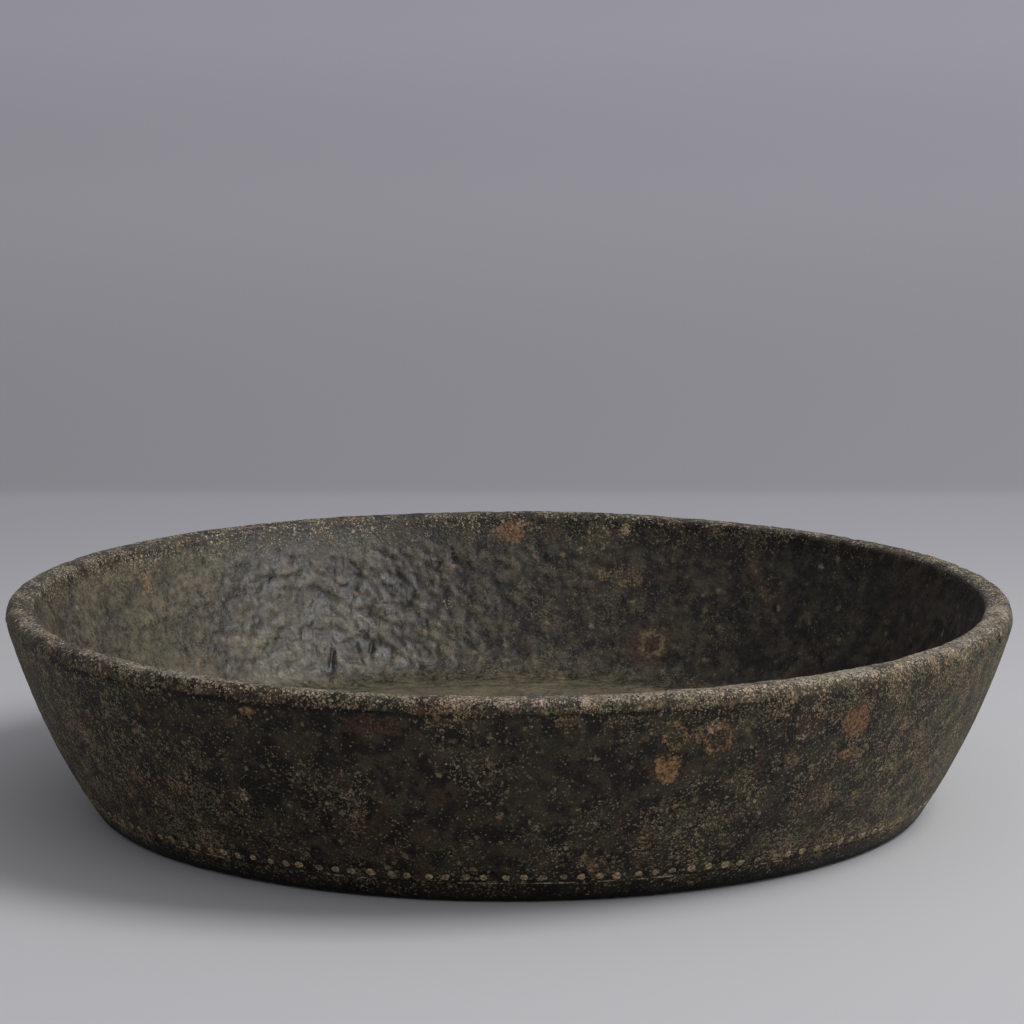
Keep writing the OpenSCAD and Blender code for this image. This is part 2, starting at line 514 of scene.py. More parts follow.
def grit_and_painted_shade(skin):
    """How thickly pale grains lie at each point, from 0 to 1, with fewer at the foot as painted shade.
    """
    p, angle, z, part = skin["p"], skin["angle"], skin["z"], skin["part"]
    clouds = ease(fractal(p, 24 * MM, 101), -0.25, 0.55)
    shoulder = ease(z, 49 * MM, 55 * MM) * hump(angle, -45, 32)
    foot = ease(z, 30 * MM, 12 * MM) * (0.35 + 0.4 * hump(angle, -62, 30) + 0.3 * hump(angle, -125, 25))
    sides = hump(angle, -15, 35) + hump(angle, -165, 30)
    outside = 0.06 + 0.34 * clouds + 0.6 * shoulder + 0.4 * foot + 1.0 * sides
    # Fewer grains at the foot: painted shade where the bowl meets the table
    outside = outside * (0.3 + 0.7 * ease(z, 2 * MM, 6.5 * MM))
    inside = 0.14 + 0.4 * clouds
    inside = inside + 0.5 * hump(angle, 165, 30) + 0.4 * hump(angle, 85, 28) - 0.3 * hump(angle, 25, 45)
    value = np.where(np.isin(part, OUT) & (skin["lean"] < 1.9), outside, inside)
    crust = crusted(skin) * (0.75 + 0.3 * clouds + 0.2 * hump(angle, -50, 50))
    return np.clip(np.maximum(value, crust), 0, 1)


def dust_and_painted_light(skin):
    """How much olive-grey dust lies: on the floor, the inside at the left, low down and at the sides; at
    the right outside, partly painted light.
    """
    p, angle, z, part = skin["p"], skin["angle"], skin["z"], skin["part"]
    streaks = 0.5 + 0.35 * noise(turned(p), 2.6 * MM, 111) + 0.3 * noise(turned(p), 8 * MM, 112)
    low = ease(z, 40 * MM, 14 * MM)
    wall = 0.10 + 0.10 * low
    wall = wall + 0.34 * hump(angle, 150, 38) + 0.06 * hump(angle, 90, 30) - 0.06 * hump(angle, 25, 25)
    wall = wall * (0.8 + 0.4 * fractal(p, 20 * MM, 113)) * ease(z, 63 * MM, 55 * MM)
    level = ease(np.hypot(p[:, 0], p[:, 1]), FLOOR_R + 8 * MM, FLOOR_R - 12 * MM)
    value = wall + level * (0.28 + 0.4 * streaks - wall)
    # At the right, the outside's dust is partly painted light, standing in for more light falling there
    sides = 0.22 * hump(angle, -18, 28) + 0.06 * hump(angle, -60, 20) + 0.08 * hump(angle, -165, 25)
    outside = sides * (1 + 0.5 * fractal(p, 12 * MM, 114))
    return np.clip(np.where(np.isin(part, OUT), outside, value), 0, 1)


RIDGE_HIGH = 0.35 * MM


def wear_and_sheen(skin):
    """How far handling has rubbed the rim pale: on its top, most of all at the right, where it is partly
    a painted sheen.
    """
    p, angle, lean = skin["p"], skin["angle"], skin["lean"]
    top = ease(lean, 0.35, 1.2) * ease(lean, math.pi, 2.2)
    # Paler at the right: partly real wear, partly a painted sheen where the light falls on the rim
    side = 0.22 + 0.85 * hump(angle, -45, 40)
    side = side + 0.15 * hump(angle, -85, 22) + 0.6 * hump(angle, -128, 18)
    value = top * side * (1 + 0.9 * fractal(p, 10 * MM, 121))
    return np.where(skin["part"] == RIM, np.clip(value, 0, 1), 0)


def shade(skin):
    """Painted shade, from 0 to 1.3: a painted shadow line under the crusty lip, and painted contact
    shade at the foot against the table.
    """
    p, z = skin["p"], skin["z"]
    edge = lip_edge(p)
    under = ease(z, edge - 2.0 * MM, edge - 0.3 * MM) * ease(z, edge + 0.4 * MM, edge)
    under = under * lip_share(skin["angle"])
    outer_face = np.isin(skin["part"], (WALL, RIM)) & (np.cos(skin["lean"]) > 0)
    lip = (0.75 + 0.6 * noise(p, 6 * MM, 131)) * under * outer_face
    foot = 0.5 * ease(z, 7 * MM, 4.5 * MM) + 0.7 * ease(z, 3.5 * MM, 1 * MM)
    return lip + foot * np.isin(skin["part"], (CORNER, WALL))


def inner(skin):
    """From 0 on the outside and the rim to 1 where the inside is well below the rim."""
    depth = ease(skin["z"], 63 * MM, 50 * MM)
    hollow = np.isin(skin["part"], (INSIDE, FILLET, FLOOR))
    rim_inside = (skin["part"] == RIM) & (skin["lean"] > 2)
    return np.where(hollow | rim_inside, depth, 0)


def polish(skin):
    """How smooth handling has left the skin: the rim, and the inside at the back left."""
    hollow = np.isin(skin["part"], (INSIDE, FILLET, RIM)) * (skin["lean"] > 1.6)
    inside = hump(skin["angle"], 122, 30) * hollow
    on_rim = 0.75 * ease(np.sin(skin["lean"]), 0.3, 0.9) * (skin["part"] == RIM)
    return np.maximum(inside, on_rim)


# ---------------------------------------------------------------- meshes
def build_mesh(name, points, faces, uv=None, attributes=()):
    """A smooth mesh object out of arrays. Faces is a list of arrays, one for each number of corners."""
    mesh = bpy.data.meshes.new(name)
    mesh.vertices.add(len(points))
    mesh.vertices.foreach_set("co", np.asarray(points, np.float32).ravel())
    corners = np.concatenate([f.ravel() for f in faces])
    sizes = np.concatenate([np.full(len(f), f.shape[1]) for f in faces])
    mesh.loops.add(len(corners))
    mesh.loops.foreach_set("vertex_index", corners.astype(np.int32))
    mesh.polygons.add(len(sizes))
    mesh.polygons.foreach_set("loop_start", (np.cumsum(sizes) - sizes).astype(np.int32))
    mesh.update(calc_edges=True)
    if uv is not None:
        mesh.uv_layers.new(name="OFBake").data.foreach_set("uv", uv.astype(np.float32).ravel())
    for key, value in dict(attributes).items():
        kind = "FLOAT" if value.ndim == 1 else "FLOAT_COLOR"
        field = "value" if value.ndim == 1 else "color"
        mesh.attributes.new(key, kind, "POINT").data.foreach_set(field, value.astype(np.float32).ravel())
    mesh.shade_smooth()
    piece = bpy.data.objects.new(name, mesh)
    bpy.context.scene.collection.objects.link(piece)
    return piece


def stitch(i, count):
    """The faces between ring i and the next, each as its corners' rings and columns."""
    n, m = count[i], count[i + 1]
    j = np.arange(min(n, m))
    here, there = i, i + 1
    if n == m:
        return [[(here, j), (here, j + 1), (there, j + 1), (there, j)]]
    if n > m:
        return [[(here, 2 * j), (here, 2 * j + 1), (there, j)],
                [(here, 2 * j + 1), (there, j + 1), (there, j)],
                [(here, 2 * j + 1), (here, 2 * j + 2), (there, j + 1)]]
    return [[(here, j), (there, 2 * j + 1), (there, 2 * j)],
            [(here, j), (here, j + 1), (there, 2 * j + 1)],
            [(here, j + 1), (there, 2 * j + 2), (there, 2 * j + 1)]]


# The square in which the bowl's skin is laid out flat: two strips of wall, the inside and the base
SHEET = 535 * MM
STRIP_H = 80 * MM
INSIDE_AT = (186 * MM, 346 * MM)
BASE_AT = (455 * MM, 250 * MM)
BASE_SHRINK = 0.55
BASE_MIDDLE = 0.5 * MM  # height of the dished underside's middle


def disc(at, r, turn):
    """Places on the flat sheet, on a circle round a middle."""
    return np.stack([at[0] + r * np.cos(TURN * turn), at[1] + r * np.sin(TURN * turn)], -1)


def lay_out(rings, i, ring, turn):
    """Places on the flat sheet of the corners of faces that start at ring i."""
    r = rings[:, 1]
    along = np.concatenate([[0], np.cumsum(np.hypot(*np.diff(rings[:, 1:3], axis=0).T))])
    wall = int(np.argmax(rings[:, 0] > BASE))
    top = int(np.argmax(rings[:, 2]))
    if i < wall:
        return disc(BASE_AT, r[ring] * BASE_SHRINK, turn)
    if i < top:
        half = np.floor(turn.min(1, keepdims=True) * 2 + 1e-9)
        return np.stack([(turn * 2 - half) * SHEET, half * STRIP_H + along[ring] - along[wall]], -1)
    return disc(INSIDE_AT, along[-1] + ROW / 2 - along[ring], turn)


def bowl_piece():
    """The carved block: its rings shaped by the relief and closed by a fan at either middle."""
    rings = section_rings()
    count = columns_of(rings)
    start = np.cumsum(count) - count
    total = int(count.sum())
    turn = np.concatenate([np.arange(n) / n for n in count])
    part, r, z, out, up = np.repeat(rings, count, axis=0).T
    around = np.stack([np.cos(TURN * turn), np.sin(TURN * turn)], 1)
    skin = {
        "p": np.column_stack([r[:, None] * around, z]),
        "n": np.column_stack([out[:, None] * around, up]),
        "part": part.astype(int),
        "angle": away(360 * turn, 0),
        "z": z,
        "lean": np.arctan2(up, out),
    }
    marks = relief(skin)
    form = np.where(skin["part"] == BASE, 0, swell(skin["p"]))
    points = skin["p"] + skin["n"] * (form + marks)[:, None]
    reach = np.hypot(points[:, 0], points[:, 1])
    points[:, :2] *= np.minimum(1, OUTER_R / np.maximum(reach, MM))[:, None]
    points[:, 2] = np.clip(points[:, 2], 0, HEIGHT)

    faces, uv = {3: [], 4: []}, {3: [], 4: []}
    for i in range(len(rings) - 1):
        for corners in stitch(i, count):
            ring = np.broadcast_to([k for k, _ in corners], (len(corners[0][1]), len(corners)))
            column = np.stack([c for _, c in corners], 1)
            faces[len(corners)].append(start[ring] + column % count[ring])
            uv[len(corners)].append(lay_out(rings, i, ring, column / count[ring]))
    ends = ((0, total, 1, BASE_AT, 1), (len(rings) - 1, total + 1, -1, INSIDE_AT, 0))
    for i, middle, way, at, flip in ends:
        j = np.arange(count[i])
        edge = np.stack([j, j + 1][::way], 1)
        rim = start[i] + edge % count[i]
        fan = np.column_stack([rim[:, ::-1], np.full(len(j), middle)])
        places = lay_out(rings, i - (1 - flip), np.full_like(edge, i), edge[:, ::-1] / count[i])
        faces[3].append(fan)
        uv[3].append(np.concatenate([places, np.broadcast_to(at, (len(j), 1, 2))], 1))
    points = np.concatenate([points, [[0, 0, BASE_MIDDLE], [0, 0, FLOOR_Z - SET_IN]]])
    # Relief height, less the painted shade under the lip and at the foot
    relief_and_painted_shade = np.clip(marks / RIDGE_HIGH - shade(skin), -1, 1)
    looks = {"tint": stain_and_shade_tint(skin), "grit_and_painted_shade": grit_and_painted_shade(skin), "dust_and_painted_light": dust_and_painted_light(skin), "wear_and_sheen": wear_and_sheen(skin),
             "inner": inner(skin), "polish": polish(skin), "relief_and_painted_shade": relief_and_painted_shade}
    looks = {key: np.concatenate([value, value[[0, -1]]]) for key, value in looks.items()}
    sheet = np.concatenate([np.concatenate(uv[k]).reshape(-1, 2) for k in (4, 3)]) / SHEET
    corners = [np.concatenate(faces[k]) for k in (4, 3)]
    return build_mesh("bowl", points, corners, sheet, looks)


def on_wall(angle, z, stand):
    """Points of the carved wall at an angle in radians and a height, stand metres proud of it."""
    a = belly_bearing(z)
    ring = np.stack([np.cos(angle), np.sin(angle)], -1)
    p = np.concatenate([ring * (belly_c[0] + BELLY_R * np.cos(a))[..., None], z[..., None]], -1)
    n = np.concatenate([ring * np.cos(a)[..., None], np.sin(a)[..., None]], -1)
    shape = p.shape[:-1]
    lift = swell(p.reshape(-1, 3)).reshape(shape) + stand
    return p + n * lift[..., None]


PLUG_SIDES = 18
# Each plug's rings from its buried end to near its middle: share of its radius, height mm
PLUG_RINGS = ((0.96, -0.75), (1.0, -0.12), (0.93, 0.05), (0.74, 0.15), (0.42, 0.16))
PLUG_MIDDLE = 0.10
PLUG_RADIUS = (1.02, 1.34)  # mm, least and most
PLUG_PROUD = (-0.10, 0.12)
PLUG_SQUASH = (0.72, 0.92)


def plug_piece(random):
    """All the plugs: small uneven pegs, each with a low crown that is a little sunk in its middle."""
    points, faces, core = [], [], []
    turn = TURN * np.arange(PLUG_SIDES) / PLUG_SIDES
    for at, height in plugs:
        radius = random.uniform(*PLUG_RADIUS) * MM
        proud = random.uniform(*PLUG_PROUD) * MM
        squash = random.uniform(*PLUG_SQUASH)
        bends = random.uniform(-1, 1, (3, 2)) * 0.08
        uneven = 1 + sum(b[0] * np.cos(k * turn) + b[1] * np.sin(k * turn)
                         for k, b in zip((2, 3, 5), bends))
        r_wall = belly_c[0] + BELLY_R * math.cos(belly_bearing(height))
        first = sum(len(p) for p in points)
        for share, stand in PLUG_RINGS:
            side = share * radius * uneven * np.cos(turn)
            up = share * radius * uneven * np.sin(turn) * squash
            rough = random.uniform(-0.03, 0.03, PLUG_SIDES) * MM
            angle = math.radians(at) + side / r_wall
            points.append(on_wall(angle, height + up, stand * MM + proud + rough))
            core.append(np.full(PLUG_SIDES, share))
        middle = np.array([math.radians(at)])
        points.append(on_wall(middle, np.array([height]), PLUG_MIDDLE * MM + proud))
        core.append(np.zeros(1))
        j = np.arange(PLUG_SIDES)
        k = (j + 1) % PLUG_SIDES
        for level in range(len(PLUG_RINGS) - 1):
            a, b = first + level * PLUG_SIDES, first + (level + 1) * PLUG_SIDES
            faces.append(np.concatenate([np.stack([a + j, a + k, b + k], 1),
                                         np.stack([a + j, b + k, b + j], 1)]))
        last = first + (len(PLUG_RINGS) - 1) * PLUG_SIDES
        faces.append(np.stack([last + j, last + k, np.full_like(j, last + PLUG_SIDES)], 1))
        faces.append(np.stack([first + k[1:-1], first + j[1:-1], np.full(PLUG_SIDES - 2, first)], 1))
    tone = np.repeat(random.uniform(0, 1, len(plugs)), len(PLUG_RINGS) * PLUG_SIDES + 1)
    looks = {"core": np.concatenate(core), "tone": tone}
    return build_mesh("inlaid_plugs", np.concatenate(points), [np.concatenate(faces)], None, looks)


def fill_arcs():
    """The first and last angle of each length of filling, from the faces of the CAD node."""
    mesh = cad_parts["line_fill"].data
    co = np.zeros(len(mesh.vertices) * 3)
    mesh.vertices.foreach_get("co", co)
    angle = np.degrees(np.arctan2(co[1::3], co[0::3]))
    spans = []
    for face in mesh.polygons:
        corner = [angle[i] for i in face.vertices]
        middle = corner[0]
        side = [away(a, middle) for a in corner]
        spans.append((middle + min(side), middle + max(side)))
    spans.sort()
    arcs = [list(spans[0])]
    for low, high in spans[1:]:
        if low > arcs[-1][1] + 0.05:
            arcs.append([low, high])
        else:
            arcs[-1][1] = max(arcs[-1][1], high)
    return arcs


FILL_STEP = 0.3  # degrees between the filling's sections
# Corners of its section: share of its half width, height above the wall in mm
FILL_CORNERS = ((-1, -0.28), (1, -0.28), (1, 0.0), (0.4, 0.07), (-0.4, 0.07), (-1, 0.0))


def fill_piece(random):
    """The pale filling left in the scribed line: thin crumbling lengths, closed at both ends."""
    points, faces = [], []
    sides = len(FILL_CORNERS)
    for start, end in fill_arcs():
        count = max(6, round((end - start) / FILL_STEP))
        angle = np.radians(np.linspace(start, end, count))
        taper = np.sqrt(np.clip(np.sin(np.linspace(0.02, math.pi - 0.02, count)) * 3, 0, 1))
        width = LINE_HALF * 0.6 * taper * random.uniform(0.4, 1.1, count)
        first = sum(len(p) for p in points)
        shift = random.uniform(-0.05, 0.05, count) * MM
        for share, stand in FILL_CORNERS:
            points.append(on_wall(angle, LINE_Z + shift + share * width, stand * MM))
        j = np.arange(count - 1)
        for side in range(sides):
            a, b = first + side * count, first + (side + 1) % sides * count
            faces.append(np.concatenate([np.stack([a + j, a + j + 1, b + j + 1], 1),
                                         np.stack([a + j, b + j + 1, b + j], 1)]))
        near = first + count * np.arange(sides)
        for cap in (near[::-1], near + count - 1):
            faces.append(np.stack([np.full(sides - 2, cap[0]), cap[1:-1], cap[2:]], 1))
    return build_mesh("scribed_line_filling", np.concatenate(points), [np.concatenate(faces)])


# ---------------------------------------------------------------- materials
class Shader:
    """A material's node tree, with a short call for each kind of node used here."""

    def __init__(self, name, roughness):
        self.material = bpy.data.materials.new(name)
        self.material.use_nodes = True
        self.tree = self.material.node_tree
        self.surface = self.tree.nodes["Principled BSDF"]
        self.surface.inputs["Roughness"].default_value = roughness
        self.where = self.add("ShaderNodeTexCoord").outputs["Object"]
        self.bent = self.where

    def add(self, kind, inputs=(), **settings):
        node = self.tree.nodes.new(kind)
        for key, value in settings.items():
            setattr(node, key, value)
        for key, value in dict(inputs).items():
            self.feed(node.inputs[key], value)
        return node

    def feed(self, socket, value):
        if isinstance(value, bpy.types.NodeSocket):
            self.tree.links.new(value, socket)
        elif socket.type == "RGBA":
            socket.default_value = (*value, 1)
        else:
            socket.default_value = value

    def finish(self, **inputs):
        for key, value in inputs.items():
            self.feed(self.surface.inputs[key.replace("_", " ")], value)
        return self.material

    def attribute(self, name, output="Fac"):
        return self.add("ShaderNodeAttribute", attribute_name=name).outputs[output]

    def moved(self, scale, turn=(0.0, 0.0, 0.0)):
        """The place on the bowl, stretched and turned, for streaky noise."""
        inputs = {"Vector": self.where, "Scale": scale, "Rotation": turn}
        return self.add("ShaderNodeMapping", inputs).outputs[0]

    def noise(self, size, detail=2.0, vector=None, rough=0.5):
        where = vector or self.where
        inputs = {"Vector": where, "Scale": 1 / size, "Detail": detail, "Roughness": rough}
        return self.add("ShaderNodeTexNoise", inputs).outputs["Fac"]

    def spots(self, size, output="Distance"):
        inputs = {"Vector": self.where, "Scale": 1 / size}
        return self.add("ShaderNodeTexVoronoi", inputs).outputs[output]

    def step(self, value, low, high, to_low=0.0, to_high=1.0):
        """A smooth change from to_low where value is low to to_high where it is high."""
        inputs = {"Value": value, "From Min": low, "From Max": high, "To Min": to_low, "To Max": to_high}
        node = self.add("ShaderNodeMapRange", inputs, interpolation_type="SMOOTHSTEP")
        return node.outputs["Result"]

    def scatter(self, size, chance, reach):
        """Grains, one to a cell if chance allows: how far a point is within one, and its own number."""
        cell = self.add("ShaderNodeTexVoronoi", {"Vector": self.bent, "Scale": 1 / size})
        number = self.add("ShaderNodeSeparateColor", {"Color": cell.outputs["Color"]})
        taken = self.step(self.math("ADD", number.outputs[0], chance), 0.97, 1.03)
        within = self.step(cell.outputs["Distance"], reach, reach * 0.5)
        return self.math("MULTIPLY", within, taken), number.outputs[1]

    def bend(self, size, reach):
        """Moves the places of the grains about by up to half of reach, so that none is round."""
        inputs = {"Vector": self.where, "Scale": 1 / size, "Detail": 1.0}
        swirl = self.add("ShaderNodeTexNoise", inputs).outputs["Color"]
        push = self.grow(swirl, reach)
        self.bent = self.add("ShaderNodeVectorMath", {0: self.where, 1: push}).outputs[0]

    def math(self, operation, a, b):
        return self.add("ShaderNodeMath", {0: a, 1: b}, operation=operation).outputs[0]

    def blend(self, share, a, b):
        """A number between a and b."""
        return self.add("ShaderNodeMix", {0: share, 2: a, 3: b}, data_type="FLOAT").outputs[0]

    def mix(self, share, a, b):
        """A colour between a and b."""
        node = self.add("ShaderNodeMix", data_type="RGBA")
        self.feed(node.inputs["Factor"], share)
        self.feed(node.inputs[6], a)
        self.feed(node.inputs[7], b)
        return node.outputs[2]

    def grow(self, colour, amount):
        """A colour made lighter or darker, or a vector made longer or shorter, by an amount."""
        inputs = {0: colour, "Scale": amount}
        return self.add("ShaderNodeVectorMath", inputs, operation="SCALE").outputs[0]

    def bump(self, height, distance, under=None):
        inputs = {"Height": height, "Distance": distance, "Strength": 1.0}
        if under:
            inputs["Normal"] = under
        return self.add("ShaderNodeBump", inputs).outputs["Normal"]


GROUND = (0.046, 0.034, 0.021)
GROUND_DARK = (0.0085, 0.0066, 0.0045)
GROUND_OLIVE = (0.039, 0.035, 0.020)
GROUND_RED = (0.046, 0.026, 0.016)
GRAIN_BUFF = (0.27, 0.20, 0.12)
GRAIN_OLIVE = (0.17, 0.155, 0.085)
DUST = (0.212, 0.183, 0.112)
WORN = (0.50, 0.43, 0.34)
SHELL = (0.56, 0.41, 0.235)
SHELL_PORE = (0.16, 0.115, 0.065)
SHELL_MIDDLE = (0.12, 0.085, 0.045)
SHELL_EDGE = (0.06, 0.045, 0.028)
LIME = (0.42, 0.33, 0.20)
LIME_DIRTY = (0.045, 0.034, 0.022)


def covered(s, amount, grain, firm=0.2, reach=0.5):
    """Where something that lies as thickly as amount hides the ground, grain by grain."""
    return s.step(s.math("ADD", s.math("MULTIPLY", amount, reach), grain), 0.88 - firm, 0.88)


def patina():
    """The bowl's old surface: dark and mottled, with pale grains, crust, stains and dust over it.
    The outside and the rim are dry and gritty, and handling has smoothed the inside."""
    s = Shader("dark_wood_patina", 0.6)
    grit_and_shade_here, relief_and_painted_shade = s.attribute("grit_and_painted_shade"), s.attribute("relief_and_painted_shade")
    inside, polished = s.attribute("inner"), s.attribute("polish")
    shine = s.blend(s.math("MAXIMUM", inside, polished), 0.20, 0.45)
    s.feed(s.surface.inputs["Specular IOR Level"], shine)
    outside = s.math("SUBTRACT", 1.0, inside)

    clouds = s.noise(0.030, 4, rough=0.6)
    blotches = s.noise(0.0060, 3, rough=0.65)
    ground = s.mix(s.step(clouds, 0.42, 0.62), GROUND, GROUND_OLIVE)
    ruddy = s.step(s.noise(0.021, 3, s.moved((1.0, 1.0, 1.4), (0.3, 0.5, 0.2))), 0.50, 0.66)
    ground = s.mix(ruddy, ground, GROUND_RED)
    ground = s.mix(s.step(blotches, 0.60, 0.40), ground, GROUND_DARK)
    # Darker in hollows and where shade is painted under the lip and at the foot; lighter on raised
    # places
    ground = s.grow(ground, s.step(relief_and_painted_shade, -0.8, 0.8, 0.35, 1.75))

    drift = s.noise(0.0040, 2)
    flocks = s.noise(0.0075, 3, rough=0.6)
    chance = s.math("MULTIPLY", s.step(flocks, 0.38, 0.62, 0.25, 1.5), grit_and_shade_here)
    chance = s.math("MULTIPLY", s.math("ADD", chance, 0.06), s.blend(inside, 0.75, 0.6))
    s.bend(0.0006, 0.0012)
    fine, tone = s.scatter(0.00062, chance, 0.66)
    coarse, coarse_tone = s.scatter(0.0016, s.math("MULTIPLY", chance, 0.30), 0.5)
    grains = s.math("MAXIMUM", fine, coarse)
    grain_colour = s.mix(s.step(s.noise(0.009, 2), 0.45, 0.60), GRAIN_BUFF, GRAIN_OLIVE)
    vary = s.math("ADD", s.math("MULTIPLY", tone, 0.9), s.math("MULTIPLY", coarse_tone, 0.4))
    on_rim = s.math("MULTIPLY", s.math("MULTIPLY", polished, outside), 0.9)
    thick = s.math("ADD", s.math("MULTIPLY", grit_and_shade_here, s.blend(inside, 0.5, 0.0)), 0.18)
    grain_colour = s.grow(grain_colour, s.math("ADD", s.math("ADD", vary, thick), on_rim))
    surface = s.mix(s.math("MULTIPLY", grains, s.blend(inside, 0.9, 0.45)), ground, grain_colour)
    sand = s.noise(0.0008, 3, rough=0.6)
    height = s.math("ADD", s.math("MULTIPLY", grains, 0.35), sand)

    choice = s.add("ShaderNodeSeparateColor", {"Color": s.spots(0.0046, "Color")}).outputs[0]
    chosen = s.step(s.math("ADD", choice, s.math("MULTIPLY", grit_and_shade_here, 0.25)), 0.84, 0.94)
    ragged = s.math("ADD", s.spots(0.0046), s.math("MULTIPLY", s.noise(0.0011, 3, rough=0.7), 0.9))
    flecks = s.math("MULTIPLY", s.step(ragged, 0.74, 0.52), chosen)
    fleck_colour = s.mix(s.step(s.noise(0.013, 1), 0.45, 0.6), OCHRE, GRAIN_BUFF)
    surface = s.mix(s.math("MULTIPLY", flecks, 0.85), surface, fleck_colour)

    crumb = s.noise(0.0022, 4, rough=0.7)
    surface = s.grow(surface, s.blend(inside, 1.0, 1.12))
    dust_and_light_cover = covered(s, s.attribute("dust_and_painted_light"), s.blend(s.blend(inside, 0.8, 0.4), crumb, sand), 0.30, 0.60)
    # Dust darker in hollows and where shade is painted; lighter on raised places
    dust_colour = s.grow(DUST, s.step(relief_and_painted_shade, -0.9, 0.9, 0.45, 1.25))
    surface = s.mix(s.math("MULTIPLY", dust_and_light_cover, 0.85), surface, dust_colour)

    speckle = s.noise(0.00080, 2, rough=0.6)
    # Stains, and the painted shade at the foot and on the inside at the right
    stained_and_shaded = covered(s, s.attribute("tint", "Alpha"), s.blend(0.5, speckle, sand), 0.20, 0.46)
    mottle = s.step(s.noise(0.0011, 3, rough=0.7), 0.36, 0.64, 0.35, 1.45)
    surface = s.mix(stained_and_shaded, surface, s.grow(s.attribute("tint", "Color"), mottle))

    # Rubbed pale places, which on the rim at the right are partly a painted sheen
    wear_and_sheen_here = s.math("MINIMUM", s.attribute("wear_and_sheen"), 0.76)
    rubbed = covered(s, wear_and_sheen_here, s.blend(0.4, sand, speckle), 0.10, 0.46)
    worn = s.mix(s.step(drift, 0.4, 0.6), WORN, GRAIN_BUFF)
    surface = s.mix(s.math("MULTIPLY", rubbed, 0.8), surface, worn)
    bright = s.math("MULTIPLY", s.math("MULTIPLY", grains, on_rim), s.step(tone, 0.3, 0.9))
    surface = s.mix(bright, surface, s.grow(WORN, 1.35))
    dots = s.noise(0.0006, 1, s.moved((1.0, 1.0, 1.0), (0.7, 0.2, 0.4)))
    deepest = s.math("ADD", s.blend(inside, 0.45, 0.2), s.math("MULTIPLY", on_rim, 0.3))
    pepper = s.step(dots, 0.46, 0.38, 0.0, deepest)
    surface = s.grow(surface, s.math("SUBTRACT", 1.0, pepper))
    # Nearly black in the deepest cuts and where the painted shade lies: under the lip and at the foot
    # against the table
    surface = s.grow(surface, s.step(relief_and_painted_shade, -1.0, -0.85, 0.25, 1.0))

    mixed = s.math("ADD", blotches, s.math("MULTIPLY", grains, 0.4))
    rough = s.step(mixed, 0.35, 0.85, 0.50, 0.78)
    rough = s.math("SUBTRACT", rough, s.math("MULTIPLY", polished, 0.16))
    crust = s.bump(height, s.blend(inside, 0.00050, 0.00010))
    skin = s.bump(s.noise(0.0021, 2), s.blend(inside, 0.0004, 0.00022), crust)
    return s.finish(Base_Color=surface, Roughness=rough, Normal=skin)


def plug_shell():
    """Old pale plugs: mottled, dark in the pores and at the sunk middle."""
    s = Shader("pale_shell_plug", 0.6)
    s.surface.inputs["Specular IOR Level"].default_value = 0.3
    tone = s.attribute("tone")
    mottle = s.noise(0.0007, 3, rough=0.65)
    colour = s.mix(s.step(mottle, 0.42, 0.60), SHELL_PORE, SHELL)
    middle = s.step(s.attribute("core"), 0.5, 0.1, 0.0, 0.6)
    colour = s.mix(s.math("MULTIPLY", middle, s.step(tone, 0.2, 0.7)), colour, SHELL_MIDDLE)
    skirt = s.step(s.attribute("core"), 0.95, 1.0, 0.0, 0.6)
    colour = s.mix(skirt, colour, SHELL_EDGE)
    colour = s.grow(colour, s.step(tone, 0.0, 1.0, 0.55, 1.0))
    return s.finish(Base_Color=colour, Normal=s.bump(mottle, 0.0002))


def line_lime():
    """Crumbling pale filling, darkened by handling."""
    s = Shader("pale_lime_filling", 0.75)
    s.surface.inputs["Specular IOR Level"].default_value = 0.2
    mottle = s.noise(0.0009, 3, rough=0.7)
    thin = s.step(s.math("ADD", mottle, s.noise(0.0035, 2)), 0.92, 1.12)
    colour = s.mix(thin, LIME_DIRTY, LIME)
    return s.finish(Base_Color=colour, Normal=s.bump(mottle, 0.0002))


# ---------------------------------------------------------------- the bowl's pieces
def dress(piece, material, node):
    """Gives a piece its material, hangs it under the root body and hides the CAD node that it stands
    for.
    """
    piece.data.materials.append(material)
    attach(piece, "root")
    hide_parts(node)


SEED = 7

random = np.random.default_rng(SEED)
dress(bowl_piece(), patina(), "bowl_body")
dress(plug_piece(random), plug_shell(), "inlay_plugs")
dress(fill_piece(random), line_lime(), "line_fill")


# ---------------------------------------------------------------- stage, light and camera
TABLE_END = 0.554
# The table top is painted darker from front to back: a painted fall-off of the light
TABLE_FRONT = (0.63, 0.63, 0.64)
TABLE_BACK = (0.445, 0.437, 0.475)
GROUND_NEAR = (0.345, 0.34, 0.365)
GROUND_FAR = (0.62, 0.61, 0.655)
GROUND_FARTHEST = (0.82, 0.805, 0.865)
# The ground is painted brighter towards the right: painted light from the right
GROUND_RIGHT = 0.6  # how much brighter the ground gets towards the right
TABLE_FADE = 0.55  # distance over which the table top's colour changes
EDGE_BEFORE, EDGE_AFTER = 0.02, 0.03  # how softly the table gives way to the ground
EYE_BACK = 1.2  # how far in front of the bowl the picture is taken from
FLOOR_SIZE = 24.0


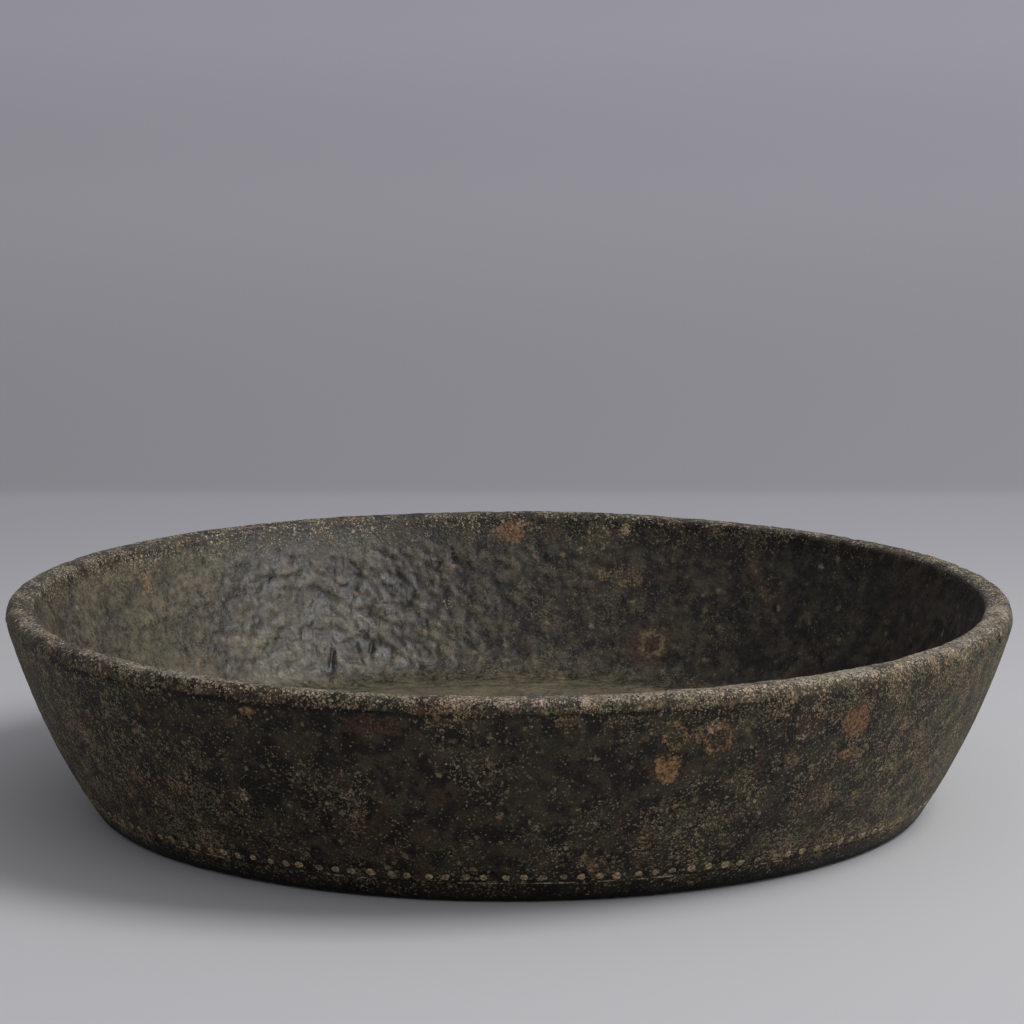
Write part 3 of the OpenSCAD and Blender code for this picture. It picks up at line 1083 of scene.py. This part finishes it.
def floor_material():
    """A pale matt table top, painted darker towards the back as a fall-off of light, that gives way to a
    darker ground behind the bowl, painted brighter towards the right.
    """
    s = Shader("pale_floor", 0.85)
    place = s.add("ShaderNodeSeparateXYZ", {"Vector": s.where})
    y = place.outputs["Y"]
    # Painted fall-off of light: the table darker towards the back
    table = s.mix(s.step(y, 0.0, TABLE_FADE), TABLE_FRONT, TABLE_BACK)
    ground = s.mix(s.step(y, 0.3, 2.2), GROUND_NEAR, GROUND_FAR)
    ground = s.mix(s.step(y, 1.0, 5.0), ground, GROUND_FARTHEST)
    # Painted light: the ground brighter towards the right
    rightward = s.math("DIVIDE", place.outputs["X"], s.math("ADD", y, EYE_BACK))
    gain = s.math("MULTIPLY", rightward, s.step(y, 0.5, 3.0, 0.0, GROUND_RIGHT))
    ground = s.grow(ground, s.math("ADD", gain, 1.03))
    past_edge = s.step(y, TABLE_END - EDGE_BEFORE, TABLE_END + EDGE_AFTER)
    colour = s.mix(past_edge, table, ground)
    return s.finish(Base_Color=colour)


def build_stage():
    """The plain floor that the bowl stands on."""
    half = FLOOR_SIZE / 2
    corners = np.array([(-half, -half, 0), (half, -half, 0), (half, half, 0), (-half, half, 0)])
    floor = build_mesh("floor", corners, [np.array([[0, 1, 2, 3]])])
    floor.data.materials.append(floor_material())


KEY_FROM = Vector((0.59, -0.09, 0.81))
KEY_DISTANCE = 1.6
KEY_SIZE = 0.72
KEY_POWER = 13.0
FILL = (0.35, 0.35, 0.37)
# How much the fill gains towards +X and towards the front
FILL_RIGHT = 0.4
FILL_FRONT = 0.22

# A softbox at the right that shows only in reflections, as a sheen on the inside and the rim
SHEEN_FROM = Vector((0.70, -0.56, 0.45))
SHEEN_DISTANCE = 1.5
SHEEN_SIZE = 0.8
SHEEN_POWER = 9.6
SHEEN_TINT = (1.0, 0.97, 0.90)


def area_light(name, toward, distance, size, power):
    """A square lamp that shines at the origin and is not itself seen."""
    light = bpy.data.lights.new(name, "AREA")
    light.shape = "SQUARE"
    light.size = size
    light.energy = power
    lamp = bpy.data.objects.new(name, light)
    lamp.location = toward.normalized() * distance
    lamp.rotation_euler = toward.to_track_quat("Z", "Y").to_euler()
    lamp.visible_camera = False
    bpy.context.scene.collection.objects.link(lamp)
    return lamp


def build_light():
    """A key lamp, the sheen's lamp and an even fill that is stronger at the right and front."""
    area_light("key", KEY_FROM, KEY_DISTANCE, KEY_SIZE, KEY_POWER)
    sheen = area_light("sheen", SHEEN_FROM, SHEEN_DISTANCE, SHEEN_SIZE, SHEEN_POWER)
    sheen.data.color = SHEEN_TINT
    sheen.visible_diffuse = False
    world = bpy.data.worlds.new("studio")
    world.use_nodes = True
    tree = world.node_tree
    background = tree.nodes["Background"]
    background.inputs["Color"].default_value = (*FILL, 1)
    slope = tree.nodes.new("ShaderNodeVectorMath")
    slope.operation = "DOT_PRODUCT"
    slope.inputs[1].default_value = (FILL_RIGHT, -FILL_FRONT, 0)
    tree.links.new(tree.nodes.new("ShaderNodeTexCoord").outputs["Generated"], slope.inputs[0])
    strength = tree.nodes.new("ShaderNodeMath")
    strength.inputs[1].default_value = 1
    tree.links.new(slope.outputs["Value"], strength.inputs[0])
    tree.links.new(strength.outputs[0], background.inputs["Strength"])
    bpy.context.scene.world = world


CAMERA_AT = (0.0008, -1.177, 0.2865)
CAMERA_DOWN = 9.64  # degrees below level
LENS_MM, SENSOR_MM = 140.6, 36


def build_camera():
    """The photo's view, from the front and a little above."""
    lens = bpy.data.cameras.new("camera")
    lens.sensor_width = SENSOR_MM
    lens.lens = LENS_MM
    camera = bpy.data.objects.new("camera", lens)
    camera.location = CAMERA_AT
    camera.rotation_euler = (math.radians(90 - CAMERA_DOWN), 0, 0)
    bpy.context.scene.collection.objects.link(camera)
    bpy.context.scene.camera = camera


build_stage()
build_light()
build_camera()
bpy.context.scene.view_settings.view_transform = "Standard"
